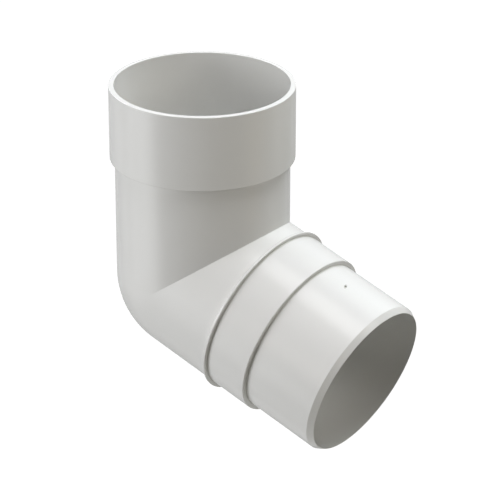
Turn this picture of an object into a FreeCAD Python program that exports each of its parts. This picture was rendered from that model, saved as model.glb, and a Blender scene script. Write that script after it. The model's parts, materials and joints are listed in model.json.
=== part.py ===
# Downspout elbow: one thin-walled plastic moulding that turns round rainwater pipe through 72 degrees.
# The upper leg ends in a socket that takes the outside of one pipe. The lower leg, the arm, carries a
# raised bead, a collar flush with the pipe and a thinner spigot that slides inside the pipe below.
# The two legs are mitred on the inner side of the bend, and a ball of the same radius rounds the
# outer corner. Units are millimetres. The origin is the centre of the socket mouth, +Z runs up out
# of the socket, and the arm leaves towards +X in the XZ plane.
import FreeCAD, Part
import math
import os

Vector = FreeCAD.Vector

# The pipe that the elbow joins, 80 mm across outside
pipe_outer_radius = 40.0
pipe_wall = 1.5

# Bend and body
bend_angle = 72.0
body_over_pipe = 0.5          # how far the body and the collar stand over the pipe's outside
body_wall = 2.2
mouth_reach = 92.2            # bend centre to the socket mouth, along the upper leg

# Socket, which takes the outside of the pipe above
socket_clearance = 0.35       # on the radius
socket_wall = 2.5
socket_depth = 33.0           # mouth to the ledge that stops the pipe
ledge_thickness = 2.4
rim_edge_radius = 0.35
socket_foot_radius = 0.5

# Bead and collar, measured from the bend centre along the arm
bead_reach = 38.4             # to the bead's flat face
bead_width = 1.6
bead_height = 1.8
bead_back_radius = 1.0
bead_edge_radius = 0.3
collar_reach = 60.1           # to the step where the pipe below butts
collar_edge_radius = 0.35

# Spigot, which slides inside the pipe below
spigot_clearance = 0.2        # on the radius
spigot_wall = 1.85
spigot_reach = 98.85          # bend centre to the open end
chamfer_length = 2.75
end_land = 0.25               # flat ring left at the end, inside the chamfer

# Small moulding mark on the top line of the spigot
mark_reach = 73.7
mark_radius = 0.65
mark_depth = 0.5

# Drawing choices
overrun = 5.0                 # how far a cutting tool passes an open end
finest_round = 0.6            # edges with a smaller radius are drawn as a flat bevel

# Sizes that follow from the ones above
body_outer_radius = pipe_outer_radius + body_over_pipe
body_bore_radius = body_outer_radius - body_wall
socket_bore_radius = pipe_outer_radius + socket_clearance
socket_outer_radius = socket_bore_radius + socket_wall
ledge_height = mouth_reach - socket_depth
socket_foot_height = ledge_height - ledge_thickness
bead_outer_radius = body_outer_radius + bead_height
bead_back = bead_reach - bead_width
spigot_outer_radius = pipe_outer_radius - pipe_wall - spigot_clearance
spigot_bore_radius = spigot_outer_radius - spigot_wall
end_outer_radius = spigot_bore_radius + end_land
chamfer_start = spigot_reach - chamfer_length
throat_end = collar_reach - body_wall
throat_start = throat_end - abs(body_bore_radius - spigot_bore_radius)

origin = Vector(0, 0, 0)
up = Vector(0, 0, 1)
across = Vector(0, 1, 0)


# One corner of an outline: where it starts and ends, and the edge that eases it, if it has one.
def eased_corner(before, here, after, edge_radius):
    if edge_radius <= 0:
        return here, here, []
    to_before = (before - here).normalize()
    to_after = (after - here).normalize()
    half_angle = to_before.getAngle(to_after) / 2
    setback = edge_radius / math.tan(half_angle)
    start = here + to_before * setback
    end = here + to_after * setback
    if edge_radius < finest_round:
        return start, end, [Part.makeLine(start, end)]
    inward = (to_before + to_after).normalize()
    middle = here + inward * (edge_radius / math.sin(half_angle) - edge_radius)
    return start, end, [Part.Arc(start, middle, end).toShape()]


# Closed outline in the XZ plane. Each corner is (distance from the axis, height, edge radius).
def outline(corners):
    points = [Vector(distance, 0, height) for distance, height, edge_radius in corners]
    eased = []
    for index, corner in enumerate(corners):
        after = points[(index + 1) % len(points)]
        eased.append(eased_corner(points[index - 1], points[index], after, corner[2]))
    edges = []
    for index, (start, end, easing) in enumerate(eased):
        edges.extend(easing)
        next_start = eased[(index + 1) % len(eased)][0]
        edges.append(Part.makeLine(end, next_start))
    return Part.Wire(edges)


def turned(corners):
    return Part.Face(outline(corners)).revolve(origin, up, 360)


# A leg stands on the bend centre with its axis up. The arm is swung over into its direction.
def swing_to_arm(shape):
    swung = shape.copy()
    swung.rotate(origin, across, 180 - bend_angle)
    return swung


# Outer corner of the bend: a half disc across the upper leg, swung through the bend angle.
def corner_ball(radius):
    rim = Part.Arc(Vector(0, radius, 0), Vector(-radius, 0, 0), Vector(0, -radius, 0)).toShape()
    chord = Part.makeLine(Vector(0, -radius, 0), Vector(0, radius, 0))
    half_disc = Part.Face(Part.Wire([rim, chord]))
    return half_disc.revolve(origin, across, -bend_angle)


def upper_leg():
    return turned([
        (0, 0, 0),
        (body_outer_radius, 0, 0),
        (body_outer_radius, socket_foot_height, 0),
        (socket_outer_radius, socket_foot_height, socket_foot_radius),
        (socket_outer_radius, mouth_reach, rim_edge_radius),
        (0, mouth_reach, 0),
    ])


def upper_leg_bore():
    return turned([
        (0, 0, 0),
        (body_bore_radius, 0, 0),
        (body_bore_radius, ledge_height, 0),
        (socket_bore_radius, ledge_height, 0),
        (socket_bore_radius, mouth_reach + overrun, 0),
        (0, mouth_reach + overrun, 0),
    ])


def arm():
    return swing_to_arm(turned([
        (0, 0, 0),
        (body_outer_radius, 0, 0),
        (body_outer_radius, bead_back, 0),
        (bead_outer_radius, bead_back, bead_back_radius),
        (bead_outer_radius, bead_reach, bead_edge_radius),
        (body_outer_radius, bead_reach, 0),
        (body_outer_radius, collar_reach, collar_edge_radius),
        (spigot_outer_radius, collar_reach, 0),
        (spigot_outer_radius, chamfer_start, 0),
        (end_outer_radius, spigot_reach, 0),
        (0, spigot_reach, 0),
    ]))


# The bore narrows inside the collar, so that the wall stays even where the outside steps in.
def arm_bore():
    return swing_to_arm(turned([
        (0, 0, 0),
        (body_bore_radius, 0, 0),
        (body_bore_radius, throat_start, 0),
        (spigot_bore_radius, throat_end, 0),
        (spigot_bore_radius, spigot_reach + overrun, 0),
        (0, spigot_reach + overrun, 0),
    ]))


# Round pit, sunk into the side of the spigot that faces the inside of the bend.
def moulding_mark():
    mouth = Vector(-spigot_outer_radius - mark_depth, 0, mark_reach)
    pit = Part.makeCylinder(mark_radius, 2 * mark_depth, mouth, Vector(1, 0, 0))
    return swing_to_arm(pit)


def elbow():
    outside = upper_leg().multiFuse([arm(), corner_ball(body_outer_radius)])
    waterway = upper_leg_bore().multiFuse([arm_bore(), corner_ball(body_bore_radius)])
    moulding = outside.cut(waterway).cut(moulding_mark()).removeSplitter()
    moulding.translate(Vector(0, 0, -mouth_reach))
    return moulding


os.makedirs("parts", exist_ok=True)
body = elbow()
body.exportStep("parts/elbow.step")
print("elbow valid", body.isValid(), "solids", len(body.Solids), "volume cm3", round(body.Volume / 1000, 2))
print("box", body.BoundBox)
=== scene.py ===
import bpy
import json
import math
from mathutils import Matrix, Vector


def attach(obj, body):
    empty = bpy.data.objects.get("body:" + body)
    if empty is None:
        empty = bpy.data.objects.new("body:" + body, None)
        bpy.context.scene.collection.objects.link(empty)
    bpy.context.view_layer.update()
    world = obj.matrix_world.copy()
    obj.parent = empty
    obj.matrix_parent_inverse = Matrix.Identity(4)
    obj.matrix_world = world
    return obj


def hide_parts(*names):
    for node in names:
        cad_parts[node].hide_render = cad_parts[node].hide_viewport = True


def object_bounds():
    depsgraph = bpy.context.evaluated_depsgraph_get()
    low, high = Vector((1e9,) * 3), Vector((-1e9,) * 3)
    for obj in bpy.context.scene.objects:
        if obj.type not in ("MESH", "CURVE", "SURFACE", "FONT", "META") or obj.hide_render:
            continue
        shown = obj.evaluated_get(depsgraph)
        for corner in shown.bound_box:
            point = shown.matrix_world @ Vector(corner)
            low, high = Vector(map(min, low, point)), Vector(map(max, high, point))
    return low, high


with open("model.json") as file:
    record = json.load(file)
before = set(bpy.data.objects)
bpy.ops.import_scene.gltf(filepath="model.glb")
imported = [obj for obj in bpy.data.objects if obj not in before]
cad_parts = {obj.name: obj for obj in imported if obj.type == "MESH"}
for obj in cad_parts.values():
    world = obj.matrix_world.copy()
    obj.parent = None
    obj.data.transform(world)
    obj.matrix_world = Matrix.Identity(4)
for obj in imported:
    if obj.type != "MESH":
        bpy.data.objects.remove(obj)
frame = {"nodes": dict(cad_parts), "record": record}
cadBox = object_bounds()
print("frame loaded:", sorted(frame["nodes"]))

mm = 0.001
mounts = {mount["name"]: mount for mount in frame["record"]["mounts"]}
socketMount = mounts["socket"]["dims"]
spigotMount = mounts["spigot"]["dims"]

# sizes of the elbow in millimetres; reaches run from the bend centre along each leg
elbowSizes = {
    "bendAngle": 72.0,  # degrees
    "bodyRadius": 40.5,
    "bodyWall": 2.2,
    "mouthReach": 92.2,
    "socketWall": 2.5,
    "ledgeThickness": 2.4,
    "rimEdge": 0.35,
    "rimInnerEdge": 0.15,
    "socketFootEdge": 0.5,
    "beadReach": 38.4,
    "beadWidth": 1.6,
    "beadHeight": 1.8,
    "beadBackEdge": 1.0,
    "beadEdge": 0.3,
    "collarReach": 60.1,
    "collarEdge": 0.35,
    "spigotWall": 1.85,
    "spigotReach": 98.85,
    "chamferLength": 2.75,
    "endLand": 0.25,
    "markReach": 73.7,
    "markRadius": 0.65,
    "markDepth": 0.5,
    "markFloor": 0.7,  # width of the pit's floor against its mouth
    "markBow": 0.086,  # bevel profile that bows the pit's four sides out into a round
    "stepsRound": 240,
    "stepsInCorner": 48,
    "stepsInEdge": 4,
    "stepsInMark": 4,
    "weldDistance": 0.008,
    "sharpFrom": 26.0,  # degrees between two faces
    "flatFaceWeight": 100,  # large faces lead the shading, so the flats stay flat
}

# how near a point has to be to the place it is picked by, in millimetres
nearEnough = {
    "section": 0.001,
    "cut": 0.0005,
    "corner": 0.002,
    "crease": 0.003,
    "mark": 0.02,
}

bendCentre = Vector((0, 0, -elbowSizes["mouthReach"] * mm))
bendAngle = math.radians(elbowSizes["bendAngle"])
armDirection = Vector((math.sin(bendAngle), 0, -math.cos(bendAngle)))
armTop = Vector((math.cos(bendAngle), 0, math.sin(bendAngle)))
mitreNormal = (Vector((0, 0, 1)) - armDirection).normalized()
spigotSide = Vector((0, 1, 0))
markSpot = bendCentre + (armDirection * elbowSizes["markReach"] + armTop * spigotMount["r_mm"]) * mm


def deselectAll():
    bpy.ops.object.select_all(action="DESELECT")


def makeActive(piece):
    deselectAll()
    piece.select_set(True)
    bpy.context.view_layer.objects.active = piece


# selects vertices by place, in edit mode, and gives how many it found
def selectVertices(piece, isWanted):
    bpy.ops.mesh.select_mode(type="VERT")
    bpy.ops.mesh.select_all(action="DESELECT")
    bpy.ops.object.mode_set(mode="OBJECT")
    found = 0
    for vertex in piece.data.vertices:
        vertex.select = bool(isWanted(vertex.co))
        found += vertex.select
    bpy.ops.object.mode_set(mode="EDIT")
    return found


# selects edges by their two ends, in edit mode
def selectEdges(piece, isWanted):
    bpy.ops.mesh.select_mode(type="EDGE")
    bpy.ops.mesh.select_all(action="DESELECT")
    bpy.ops.object.mode_set(mode="OBJECT")
    places = [vertex.co.copy() for vertex in piece.data.vertices]
    found = 0
    for edge in piece.data.edges:
        edge.select = all(isWanted(places[index]) for index in edge.vertices)
        found += edge.select
    bpy.ops.object.mode_set(mode="EDIT")
    return found


# turns a leg on the Z axis from its section
# each corner is its distance from the axis, its height and its edge radius, in millimetres
def turnLeg(name, corners):
    deselectAll()
    bpy.ops.mesh.primitive_plane_add(size=mm, location=(0, 0, 0))
    leg = bpy.context.active_object
    leg.name = name
    bpy.ops.object.mode_set(mode="EDIT")
    bpy.ops.mesh.select_all(action="SELECT")
    bpy.ops.mesh.merge(type="CENTER")
    here = Vector((0, 0, 0))
    for index, (distance, height, edgeRadius) in enumerate(corners):
        place = Vector((distance * mm, 0, height * mm))
        if index == 0:
            bpy.ops.transform.translate(value=place - here)
        else:
            bpy.ops.mesh.extrude_vertices_move(TRANSFORM_OT_translate={"value": place - here})
        here = place
    for distance, height, edgeRadius in corners:
        if edgeRadius > 0:
            corner = Vector((distance * mm, 0, height * mm))
            selectVertices(leg, lambda co: (co - corner).length < nearEnough["section"] * mm)
            bpy.ops.mesh.bevel(
                offset=edgeRadius * mm,
                segments=elbowSizes["stepsInEdge"],
                affect="VERTICES",
            )
    bpy.ops.mesh.select_all(action="SELECT")
    bpy.ops.mesh.spin(
        steps=elbowSizes["stepsRound"],
        angle=2 * math.pi,
        center=(0, 0, 0),
        axis=(0, 0, 1),
    )
    bpy.ops.mesh.select_all(action="SELECT")
    bpy.ops.mesh.remove_doubles(threshold=elbowSizes["weldDistance"] * mm)
    bpy.ops.object.mode_set(mode="OBJECT")
    return leg


# puts a leg in place: turned over about the Y axis, standing on the bend centre
def placeLeg(leg, turn):
    makeActive(leg)
    leg.rotation_euler = (0, turn, 0)
    leg.location = bendCentre
    bpy.ops.object.transform_apply(location=True, rotation=True, scale=True)


# cuts a leg at the mitre, keeping the side that the leg lies on
def cutMitre(leg, keepNormal):
    makeActive(leg)
    bpy.ops.object.mode_set(mode="EDIT")
    bpy.ops.mesh.select_all(action="SELECT")
    bpy.ops.mesh.bisect(
        plane_co=bendCentre,
        plane_no=keepNormal,
        threshold=nearEnough["cut"] * mm,
        clear_inner=True,
    )
    bpy.ops.object.mode_set(mode="OBJECT")


def makeUpperLeg():
    s = elbowSizes
    socketBore = socketMount["r_mm"]
    socketRadius = socketBore + s["socketWall"]
    ledge = s["mouthReach"] - socketMount["length_mm"]
    foot = ledge - s["ledgeThickness"]
    bore = s["bodyRadius"] - s["bodyWall"]
    leg = turnLeg("upperLeg", [
        (s["bodyRadius"], 0, 0),
        (s["bodyRadius"], foot, 0),
        (socketRadius, foot, s["socketFootEdge"]),
        (socketRadius, s["mouthReach"], s["rimEdge"]),
        (socketBore, s["mouthReach"], s["rimInnerEdge"]),
        (socketBore, ledge, 0),
        (bore, ledge, 0),
        (bore, 0, 0),
    ])
    placeLeg(leg, 0)
    cutMitre(leg, mitreNormal)
    return leg


def makeArm():
    s = elbowSizes
    spigotRadius = spigotMount["r_mm"]
    spigotBore = spigotRadius - s["spigotWall"]
    bore = s["bodyRadius"] - s["bodyWall"]
    beadRadius = s["bodyRadius"] + s["beadHeight"]
    throatEnd = s["collarReach"] - s["bodyWall"]
    arm = turnLeg("arm", [
        (s["bodyRadius"], 0, 0),
        (s["bodyRadius"], s["beadReach"] - s["beadWidth"], 0),
        (beadRadius, s["beadReach"] - s["beadWidth"], s["beadBackEdge"]),
        (beadRadius, s["beadReach"], s["beadEdge"]),
        (s["bodyRadius"], s["beadReach"], 0),
        (s["bodyRadius"], s["collarReach"], s["collarEdge"]),
        (spigotRadius, s["collarReach"], 0),
        (spigotRadius, s["markReach"], 0),
        (spigotRadius, s["spigotReach"] - s["chamferLength"], 0),
        (spigotBore + s["endLand"], s["spigotReach"], 0),
        (spigotBore, s["spigotReach"], 0),
        (spigotBore, throatEnd, 0),
        (bore, throatEnd - (bore - spigotBore), 0),
        (bore, 0, 0),
    ])
    placeLeg(arm, math.pi - bendAngle)
    cutMitre(arm, -mitreNormal)
    return arm


# outer corner: the half rings at the foot of the upper leg, spun through the bend angle
def spinCorner(elbow):
    makeActive(elbow)
    bpy.ops.object.mode_set(mode="EDIT")
    near = nearEnough["corner"] * mm
    found = selectEdges(elbow, lambda co: abs(co.z - bendCentre.z) < near and co.x < near)
    bpy.ops.mesh.spin(
        steps=elbowSizes["stepsInCorner"],
        angle=bendAngle,  # the spin operator turns against its angle
        center=bendCentre,
        axis=(0, 1, 0),
    )
    bpy.ops.mesh.select_all(action="SELECT")
    bpy.ops.mesh.remove_doubles(threshold=elbowSizes["weldDistance"] * mm)
    bpy.ops.mesh.select_all(action="SELECT")
    bpy.ops.mesh.normals_make_consistent(inside=False)
    bpy.ops.object.mode_set(mode="OBJECT")
    return found


# round pit left by the mould, on the top line of the spigot
def sinkMark(elbow):
    s = elbowSizes
    sink = -armTop * s["markDepth"] * mm
    makeActive(elbow)
    bpy.ops.object.mode_set(mode="EDIT")
    found = selectVertices(elbow, lambda co: (co - markSpot).length < nearEnough["mark"] * mm)
    bpy.ops.mesh.bevel(
        offset=s["markRadius"] * mm,
        segments=s["stepsInMark"],
        profile=s["markBow"],
        affect="VERTICES",
    )
    bpy.ops.mesh.select_mode(type="FACE")
    bpy.ops.mesh.extrude_region_move(TRANSFORM_OT_translate={"value": sink})
    bpy.ops.transform.resize(value=[s["markFloor"]] * 3, center_override=markSpot + sink)
    bpy.ops.object.mode_set(mode="OBJECT")
    return found


# keeps the inner corner's crease sharp right to where it fades out
def markCrease(elbow):
    makeActive(elbow)
    bpy.ops.object.mode_set(mode="EDIT")
    near = nearEnough["crease"] * mm

    def inCrease(co):
        return abs((co - bendCentre).dot(mitreNormal)) < near and co.x > -near

    found = selectEdges(elbow, inCrease)
    bpy.ops.mesh.mark_sharp()
    bpy.ops.object.mode_set(mode="OBJECT")
    return found


def makeElbow():
    upperLeg = makeUpperLeg()
    arm = makeArm()
    makeActive(upperLeg)
    arm.select_set(True)
    bpy.ops.object.join()
    elbow = bpy.context.active_object
    elbow.name = "elbowMoulding"
    print("corner edges spun:", spinCorner(elbow))
    print("mark vertices:", sinkMark(elbow))
    makeActive(elbow)
    bpy.ops.object.shade_smooth_by_angle(angle=math.radians(elbowSizes["sharpFrom"]))
    print("crease edges:", markCrease(elbow))
    weighted = elbow.modifiers.new("evenShading", "WEIGHTED_NORMAL")
    weighted.mode = "FACE_AREA"
    weighted.weight = elbowSizes["flatFaceWeight"]
    weighted.keep_sharp = True
    bpy.ops.object.modifier_apply(modifier=weighted.name)
    return elbow


white = (1, 1, 1, 1)
black = (0, 0, 0, 1)


# sRGB hex colour to Blender's linear one
def toLinear(hexColour):
    channels = []
    for start in (1, 3, 5):
        value = int(hexColour[start:start + 2], 16) / 255
        channels.append(value / 12.92 if value <= 0.04045 else ((value + 0.055) / 1.055) ** 2.4)
    return (*channels, 1.0)


# rotation whose X and Z axes point along two directions
def turnedTo(xAxis, zAxis):
    return Matrix((xAxis, zAxis.cross(xAxis), zAxis)).transposed().to_euler()


def addNode(tree, kind, settings=None, inputs=None, links=None):
    node = tree.nodes.new(kind)
    for key, value in (settings or {}).items():
        setattr(node, key, value)
    for key, value in (inputs or {}).items():
        node.inputs[key].default_value = value
    for key, socket in (links or {}).items():
        tree.links.new(socket, node.inputs[key])
    return node


# Unplasticised PVC, injection moulded in a polished tool: a near-white, slightly warm plastic with
# a satin gloss that mirrors the lamps as soft bands, and a faint unevenness left by the melt's flow.
# Sizes are in millimetres.
upvcFinish = {
    "colour": "#DDDDDB",
    "flowColour": "#DADAD7",
    "roughness": 0.22,
    "roughnessSpread": 0.03,
    "ior": 1.53,
    "flowSize": 30.0,  # breadth of the flow marks
    "flowDetail": 3.0,
    "skinSize": 2.2,  # the tool's polish is far finer, and is drawn this coarse to show at all
    "skinDetail": 2.0,
    "skinDepth": 0.004,
    "skinStrength": 0.3,
    "noiseRoughness": 0.5,
    # painted shade: the pit at the mould mark is modelled, and an oval round it is coloured darker to
    # stand in for the mark's shade; the sizes below shape that oval
    "markShadeColour": "#B8B8B2",
    "markLength": 3.5,
    "markWidth": 1.4,
    "markSlant": 0.42,
    "markSolid": 0.8,  # share of the oval that is fully dark
    "markFaded": 1.1,  # where its soft edge ends
    # painted shade in the corners at the foot of the bead and of the step
    "cornerShadeColour": "#C3C3BD",
    "cornerShadePast": 0.4,  # the painted shade is darkest this far past the corner
    "cornerShadeReach": 0.7,
}


# painted shade at the moulding mark: 1 inside an oval that slants across the spigot's top line, and 0
# elsewhere
def ovalOfMarkShade(tree, place):
    f = upvcFinish
    slant = (spigotSide - armDirection * f["markSlant"]).normalized()
    fromMark = addNode(
        tree, "ShaderNodeMapping",
        settings={"vector_type": "TEXTURE"},
        inputs={
            "Location": markSpot,
            "Rotation": turnedTo(slant, armTop),
            "Scale": Vector((f["markLength"], f["markWidth"], f["markLength"])) * mm / 2,
        },
        links={"Vector": place},
    ).outputs["Vector"]
    reach = addNode(
        tree, "ShaderNodeVectorMath", settings={"operation": "LENGTH"},
        links={0: fromMark},
    ).outputs["Value"]
    return addNode(
        tree, "ShaderNodeMapRange",
        inputs={"From Min": f["markSolid"], "From Max": f["markFaded"], "To Min": 1.0, "To Max": 0.0},
        links={"Value": reach},
    ).outputs["Result"]


# painted shade: 1 in the two corners at the foot of the bead and of the step, where the shade in the
# corner is painted darker, and 0 away from them
def paintedShadeInCorners(tree, place):
    f = upvcFinish
    onArm = addNode(
        tree, "ShaderNodeMapping",
        settings={"vector_type": "TEXTURE"},
        inputs={"Location": bendCentre, "Rotation": turnedTo(armTop, armDirection)},
        links={"Vector": place},
    ).outputs["Vector"]
    across = addNode(
        tree, "ShaderNodeVectorMath", settings={"operation": "MULTIPLY"},
        inputs={1: (1, 1, 0)},
        links={0: onArm},
    ).outputs["Vector"]
    fromAxis = addNode(
        tree, "ShaderNodeVectorMath", settings={"operation": "LENGTH"},
        links={0: across},
    ).outputs["Value"]
    along = addNode(tree, "ShaderNodeSeparateXYZ", links={0: onArm}).outputs["Z"]
    section = addNode(
        tree, "ShaderNodeCombineXYZ",
        links={"X": fromAxis, "Y": along},
    ).outputs["Vector"]
    corners = [
        (elbowSizes["bodyRadius"], elbowSizes["beadReach"]),
        (spigotMount["r_mm"], elbowSizes["collarReach"]),
    ]
    fromCorner = [
        addNode(
            tree, "ShaderNodeVectorMath", settings={"operation": "DISTANCE"},
            inputs={1: (radius * mm, (footReach + f["cornerShadePast"]) * mm, 0)},
            links={0: section},
        ).outputs["Value"]
        for radius, footReach in corners
    ]
    nearest = addNode(
        tree, "ShaderNodeMath", settings={"operation": "MINIMUM"},
        links={0: fromCorner[0], 1: fromCorner[1]},
    ).outputs[0]
    return addNode(
        tree, "ShaderNodeMapRange",
        inputs={"From Min": 0.0, "From Max": f["cornerShadeReach"] * mm, "To Min": 1.0, "To Max": 0.0},
        links={"Value": nearest},
    ).outputs["Result"]


def mouldedUpvc():
    f = upvcFinish
    material = bpy.data.materials.new("mouldedUpvc")
    material.use_nodes = True
    tree = material.node_tree
    shader = tree.nodes["Principled BSDF"]
    place = addNode(tree, "ShaderNodeTexCoord").outputs["Object"]
    flow = addNode(
        tree, "ShaderNodeTexNoise",
        inputs={
            "Scale": 1 / (f["flowSize"] * mm),
            "Detail": f["flowDetail"],
            "Roughness": f["noiseRoughness"],
        },
        links={"Vector": place},
    ).outputs["Fac"]
    colour = addNode(
        tree, "ShaderNodeMix",
        settings={"data_type": "RGBA"},
        inputs={"A": toLinear(f["colour"]), "B": toLinear(f["flowColour"])},
        links={"Factor": flow},
    ).outputs["Result"]
    # painted shade at the mould mark, mixed over the plastic's colour
    markShaded = addNode(
        tree, "ShaderNodeMix",
        settings={"data_type": "RGBA"},
        inputs={"B": toLinear(f["markShadeColour"])},
        links={"A": colour, "Factor": ovalOfMarkShade(tree, place)},
    ).outputs["Result"]
    # painted shade in the corners at the foot of the bead and of the step
    cornerShaded = addNode(
        tree, "ShaderNodeMix",
        settings={"data_type": "RGBA"},
        inputs={"B": toLinear(f["cornerShadeColour"])},
        links={"A": markShaded, "Factor": paintedShadeInCorners(tree, place)},
    )
    tree.links.new(cornerShaded.outputs["Result"], shader.inputs["Base Color"])
    gloss = addNode(
        tree, "ShaderNodeMapRange",
        inputs={
            "To Min": f["roughness"] - f["roughnessSpread"] / 2,
            "To Max": f["roughness"] + f["roughnessSpread"] / 2,
        },
        links={"Value": flow},
    )
    tree.links.new(gloss.outputs["Result"], shader.inputs["Roughness"])
    skin = addNode(
        tree, "ShaderNodeTexNoise",
        inputs={
            "Scale": 1 / (f["skinSize"] * mm),
            "Detail": f["skinDetail"],
            "Roughness": f["noiseRoughness"],
        },
        links={"Vector": place},
    ).outputs["Fac"]
    bump = addNode(
        tree, "ShaderNodeBump",
        inputs={"Strength": f["skinStrength"], "Distance": f["skinDepth"] * mm},
        links={"Height": skin},
    )
    tree.links.new(bump.outputs["Normal"], shader.inputs["Normal"])
    shader.inputs["IOR"].default_value = f["ior"]
    return material


elbow = makeElbow()
elbow.data.materials.clear()
elbow.data.materials.append(mouldedUpvc())
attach(elbow, "root")
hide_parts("elbow")
print("elbow modelled:", len(elbow.data.polygons), "faces")

# plain pale floor, far enough down for the elbow's shadow to lie outside the photograph's frame
# sizes are in metres, and aim is the middle of the elbow
studio = {
    "aim": (0.03, 0, -0.08),
    "floorDrop": 1.2,
    "floorSize": 12.0,
    "floorColour": "#C6C6C4",
    "floorRoughness": 0.9,
    "shadowReach": 1.2,
    "whiteFrom": 1.9,
    "glowByShadow": 0.75,
}


# stands a lamp or card round the middle of the elbow and turns it to face that; angles in degrees
def faceElbow(holder, place):
    azimuth = math.radians(place["azimuth"])
    elevation = math.radians(place["elevation"])
    outward = Vector((
        math.cos(elevation) * math.cos(azimuth),
        math.cos(elevation) * math.sin(azimuth),
        math.sin(elevation),
    ))
    holder.location = Vector(studio["aim"]) + outward * place["distance"]
    holder.rotation_euler = (math.pi / 2 - elevation, 0, azimuth + math.pi / 2)


# 1 for rays from the camera, off a gloss or through glass, and 0 for light that falls on the elbow
def seenDirectly(tree):
    rays = addNode(tree, "ShaderNodeLightPath")
    either = addNode(
        tree, "ShaderNodeMath", settings={"operation": "MAXIMUM"},
        links={0: rays.outputs["Is Camera Ray"], 1: rays.outputs["Is Glossy Ray"]},
    )
    return addNode(
        tree, "ShaderNodeMath", settings={"operation": "MAXIMUM"},
        links={0: either.outputs[0], 1: rays.outputs["Is Transmission Ray"]},
    ).outputs[0]


def makeFloor():
    floorHeight = cadBox[0].z - studio["floorDrop"]
    deselectAll()
    bpy.ops.mesh.primitive_plane_add(size=studio["floorSize"], location=(0, 0, floorHeight))
    floor = bpy.context.active_object
    floor.name = "studioFloor"
    material = bpy.data.materials.new("matteStudioFloor")
    material.use_nodes = True
    tree = material.node_tree
    shader = tree.nodes["Principled BSDF"]
    shader.inputs["Base Color"].default_value = toLinear(studio["floorColour"])
    shader.inputs["Roughness"].default_value = studio["floorRoughness"]
    shader.inputs["Emission Color"].default_value = white
    # under the elbow the floor glows less, so that the elbow's shadow shows there
    place = addNode(tree, "ShaderNodeTexCoord").outputs["Object"]
    away = addNode(
        tree, "ShaderNodeVectorMath", settings={"operation": "LENGTH"},
        links={0: place},
    ).outputs["Value"]
    glow = addNode(
        tree, "ShaderNodeMapRange",
        inputs={
            "From Min": studio["shadowReach"], "From Max": studio["whiteFrom"],
            "To Min": studio["glowByShadow"], "To Max": 1.0,
        },
        links={"Value": away},
    ).outputs["Result"]
    strength = addNode(
        tree, "ShaderNodeMath", settings={"operation": "MULTIPLY"},
        links={0: glow, 1: seenDirectly(tree)},
    )
    tree.links.new(strength.outputs[0], shader.inputs["Emission Strength"])
    floor.data.materials.append(material)


def makeWorld():
    world = bpy.data.worlds.new("studioWorld")
    bpy.context.scene.world = world
    world.use_nodes = True
    tree = world.node_tree
    background = tree.nodes["Background"]
    background.inputs["Color"].default_value = white
    tree.links.new(seenDirectly(tree), background.inputs["Strength"])


# dark card behind the elbow, seen in its gloss alone
# it keeps the pale outline clear of the white ground
edgeCard = {
    "azimuth": 120,
    "elevation": -32,
    "distance": 0.6,
    "width": 1.7,
    "height": 0.61,
    "level": 0.55,
}


def makeEdgeCard():
    deselectAll()
    bpy.ops.mesh.primitive_plane_add(size=1)
    card = bpy.context.active_object
    card.name = "edgeCard"
    card.scale = (edgeCard["width"], edgeCard["height"], 1)
    faceElbow(card, edgeCard)
    material = bpy.data.materials.new("darkCard")
    material.use_nodes = True
    shader = material.node_tree.nodes["Principled BSDF"]
    shader.inputs["Base Color"].default_value = black
    shader.inputs["Specular IOR Level"].default_value = 0.0
    shader.inputs["Emission Color"].default_value = white
    shader.inputs["Emission Strength"].default_value = edgeCard["level"]
    card.data.materials.append(material)
    card.visible_camera = False
    card.visible_diffuse = False
    card.visible_shadow = False


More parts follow.
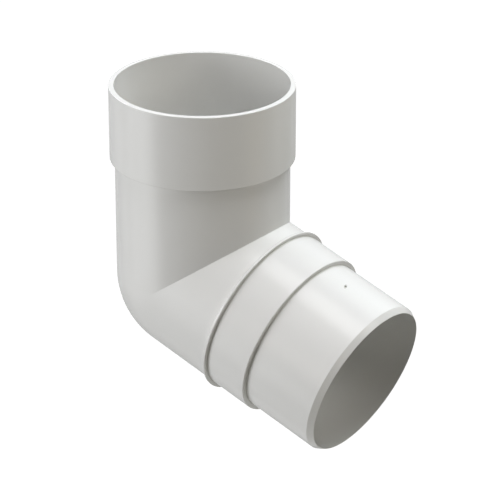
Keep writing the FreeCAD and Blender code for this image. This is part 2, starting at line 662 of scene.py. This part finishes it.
# softboxes face the middle of the elbow
# azimuth and elevation are in degrees, lengths in metres and power in watts
softboxes = [
    {
        "name": "zenithStrip", "azimuth": 105, "elevation": 87, "distance": 1.3,
        "width": 1.4, "height": 0.46, "power": 5.88, "colour": "#FCFCFF",
    },
    {
        "name": "highFrontSoftbox", "azimuth": -35, "elevation": 75, "distance": 1.3,
        "width": 0.5, "height": 0.4, "power": 4.68, "colour": "#FEFEFF",
    },
    {
        "name": "highBackSoftbox", "azimuth": 80, "elevation": 65, "distance": 1.3,
        "width": 0.5, "height": 0.5, "power": 0.763, "colour": "#E2E6FF",
    },
    {
        "name": "leftKeySoftbox", "azimuth": -130, "elevation": 14, "distance": 1.3,
        "width": 0.5, "height": 0.5, "power": 3.82, "colour": "#FCFDFF",
    },
    {
        "name": "leftMidPanel", "azimuth": -135, "elevation": 5, "distance": 1.1,
        "width": 0.9, "height": 0.5, "power": 2.63, "colour": "#FDFEFF",
    },
    {
        "name": "leftLowPanel", "azimuth": -133, "elevation": -18, "distance": 1.1,
        "width": 0.85, "height": 0.6, "power": 1.57, "colour": "#FDFEFF",
    },
    {
        "name": "leftEdgePanel", "azimuth": -127, "elevation": -12, "distance": 1.1,
        "width": 0.388, "height": 0.55, "power": 0.579, "colour": "#FBFDFF",
    },
    {
        "name": "lowLeftPanel", "azimuth": -135, "elevation": -42, "distance": 1.3,
        "width": 0.8, "height": 0.5, "power": 0.722, "colour": "#FBFDFF",
    },
    {
        "name": "frontTallSoftbox", "azimuth": -102, "elevation": 34, "distance": 1.35,
        "width": 0.45, "height": 1.9, "power": 2.56, "colour": "#FFFEFF",
    },
    {
        "name": "frontFillSoftbox", "azimuth": -98, "elevation": 12, "distance": 1.3,
        "width": 0.5, "height": 0.6, "power": 0.677, "colour": "#FFF7ED",
    },
    {
        "name": "frontRightSoftbox", "azimuth": -45, "elevation": 25, "distance": 1.3,
        "width": 0.5, "height": 0.5, "power": 0.837, "colour": "#FFF2DC",
    },
    {
        "name": "backSoftbox", "azimuth": 72, "elevation": 50, "distance": 1.3,
        "width": 0.5, "height": 0.5, "power": 4.97, "colour": "#F9FDFF",
    },
    {
        "name": "backWideSoftbox", "azimuth": 80, "elevation": 38, "distance": 1.3,
        "width": 0.8, "height": 0.8, "power": 2.86, "colour": "#F2FEFF",
    },
    {
        "name": "backEdgePanel", "azimuth": 100, "elevation": 28, "distance": 1.3,
        "width": 0.4, "height": 0.5, "power": 0.538, "colour": "#EDF4FF",
    },
    {
        "name": "farSoftbox", "azimuth": 160, "elevation": 38, "distance": 1.3,
        "width": 0.5, "height": 0.5, "power": 3.98, "colour": "#F6F6FF",
    },
    {
        "name": "rightHighSoftbox", "azimuth": 20, "elevation": 25, "distance": 1.3,
        "width": 0.5, "height": 0.5, "power": 3.54, "colour": "#FFFCF5",
    },
    {
        "name": "rightLowPanel", "azimuth": 15, "elevation": -14, "distance": 1.3,
        "width": 0.5, "height": 0.5, "power": 0.234, "colour": "#FFDC9B",
    },
    {
        "name": "lowRightPanel", "azimuth": -10, "elevation": -40, "distance": 1.3,
        "width": 0.5, "height": 0.5, "power": 1.78, "colour": "#FFFBEB",
    },
]


def makeSoftbox(lamp):
    light = bpy.data.lights.new(lamp["name"], "AREA")
    light.shape = "RECTANGLE"
    light.size = lamp["width"]
    light.size_y = lamp["height"]
    light.energy = lamp["power"]
    light.color = toLinear(lamp["colour"])[:3]
    holder = bpy.data.objects.new(lamp["name"], light)
    bpy.context.scene.collection.objects.link(holder)
    faceElbow(holder, lamp)
    holder.visible_camera = False


makeFloor()
makeWorld()
makeEdgeCard()
for lamp in softboxes:
    makeSoftbox(lamp)
print("studio ready")

# camera at the photograph's viewing angle, in degrees and metres from the bend centre
# focal length and frame are in the photograph's pixels
photoCamera = {
    "azimuth": 37.59,
    "elevation": 24.46,
    "roll": 0.10,
    "distance": 1.2633,
    "aside": 0.0219,
    "above": 0.00804,
    "focalPixels": 2692.5,
    "framePixels": 500,
    "sensorWidth": 36.0,
    "nearest": 0.05,
    "furthest": 50.0,
}


def makeCamera():
    c = photoCamera
    azimuth = math.radians(c["azimuth"])
    elevation = math.radians(c["elevation"])
    level = Vector((math.cos(azimuth), math.sin(azimuth), 0))
    back = Vector((
        math.sin(azimuth) * math.cos(elevation),
        -math.cos(azimuth) * math.cos(elevation),
        math.sin(elevation),
    ))
    right = Matrix.Rotation(math.radians(c["roll"]), 3, back) @ level
    up = back.cross(right)
    data = bpy.data.cameras.new("photoCamera")
    data.sensor_width = c["sensorWidth"]
    data.lens = c["sensorWidth"] * c["focalPixels"] / c["framePixels"]
    data.clip_start = c["nearest"]
    data.clip_end = c["furthest"]
    camera = bpy.data.objects.new("photoCamera", data)
    bpy.context.scene.collection.objects.link(camera)
    camera.location = bendCentre + back * c["distance"] + right * c["aside"] + up * c["above"]
    camera.rotation_euler = Matrix((right, up, back)).transposed().to_euler()
    bpy.context.scene.camera = camera


makeCamera()
bpy.context.scene.view_settings.view_transform = "Standard"
print("camera ready")
